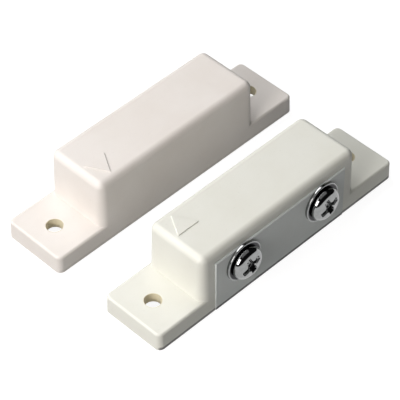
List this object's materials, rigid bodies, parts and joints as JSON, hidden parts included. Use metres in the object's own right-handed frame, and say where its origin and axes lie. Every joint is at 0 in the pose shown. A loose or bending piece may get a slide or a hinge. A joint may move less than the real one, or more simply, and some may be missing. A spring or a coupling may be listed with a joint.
{
  "type": "door contact sensor",
  "caption": "Surface-mount magnetic door contact: reed switch half with side screw terminals and a matching magnet half, with holed mounting tabs.",
  "frame": {"origin": "centre of the switch half's base, midway between its two mounting holes", "axes": "+X along both halves, +Y from the switch half towards the magnet half, +Z away from the mounting surface"},
  "size_m": [0.064, 0.0442, 0.0152],
  "materials": {
    "ivory_abs": "satin moulded ABS, warm ivory",
    "ivory_cover": "matt moulded ABS",
    "panel_abs": "satin moulded ABS, slightly cooler than the shell",
    "nickel_plate": "bright nickel plate on steel",
    "brass": "plain brass",
    "nickel_iron": "drawn nickel-iron wire",
    "solder": "tin solder",
    "glass": "pale green glass",
    "silicone": "translucent white silicone",
    "ferrite": "sintered ferrite",
    "foam": "closed-cell foam"
  },
  "bodies": {
    "switch_half": {"switch_housing": "ivory_abs", "terminal_panel": "panel_abs", "switch_back_cover": "ivory_cover", "reed_glass": "glass", "terminal_nut_left": "brass", "terminal_nut_right": "brass", "solder_tag_left": "brass", "solder_tag_right": "brass", "reed_lead_left": "nickel_iron", "reed_lead_right": "nickel_iron", "solder_joint_left": "solder", "solder_joint_right": "solder", "glass_cushion_left": "silicone", "glass_cushion_right": "silicone"},
    "magnet_half": {"magnet_housing": "ivory_abs", "bar_magnet": "ferrite", "magnet_foam_pad": "foam", "magnet_back_cover": "ivory_cover"},
    "left_clamp": {"clamp_washer_left": "nickel_plate"},
    "left_screw": {"terminal_screw_left": "nickel_plate"},
    "left_blade": {"reed_blade_left": "nickel_iron"},
    "right_clamp": {"clamp_washer_right": "nickel_plate"},
    "right_screw": {"terminal_screw_right": "nickel_plate"},
    "right_blade": {"reed_blade_right": "nickel_iron"}
  },
  "joints": [
    {"name": "door_travel", "type": "slide", "parent": "switch_half", "child": "magnet_half", "axis": [0, 1, 0], "range_m": [-0.0112, 0.035]},
    {"name": "left_screw_lift", "type": "slide", "parent": "switch_half", "child": "left_clamp", "axis": [0, -1, 0], "range_m": [0, 0.0018]},
    {"name": "left_screw_turn", "type": "hinge", "parent": "left_clamp", "child": "left_screw", "pos_m": [-0.0106, -0.0082, 0.0087], "axis": [0, -1, 0], "range_deg": [0, 1080]},
    {"name": "left_blade_bend", "type": "hinge", "parent": "switch_half", "child": "left_blade", "pos_m": [-0.00725, 0.00275, 0.00893], "axis": [0, 1, 0], "range_deg": [0, 0.77], "stiffness_Nm_per_rad": 0.005},
    {"name": "right_screw_lift", "type": "slide", "parent": "switch_half", "child": "right_clamp", "axis": [0, -1, 0], "range_m": [0, 0.0018]},
    {"name": "right_screw_turn", "type": "hinge", "parent": "right_clamp", "child": "right_screw", "pos_m": [0.0106, -0.0082, 0.0087], "axis": [0, -1, 0], "range_deg": [0, 1080]},
    {"name": "right_blade_bend", "type": "hinge", "parent": "switch_half", "child": "right_blade", "pos_m": [0.00725, 0.00275, 0.00847], "axis": [0, 1, 0], "range_deg": [0, 0.77], "stiffness_Nm_per_rad": 0.005}
  ],
  "couplings": [
    {"joint": "left_screw_turn", "follows": "left_screw_lift", "rad_per_m": 10472},
    {"joint": "right_screw_turn", "follows": "right_screw_lift", "rad_per_m": 10472},
    {"joint": "right_blade_bend", "follows": "left_blade_bend", "ratio": 1}
  ]
}
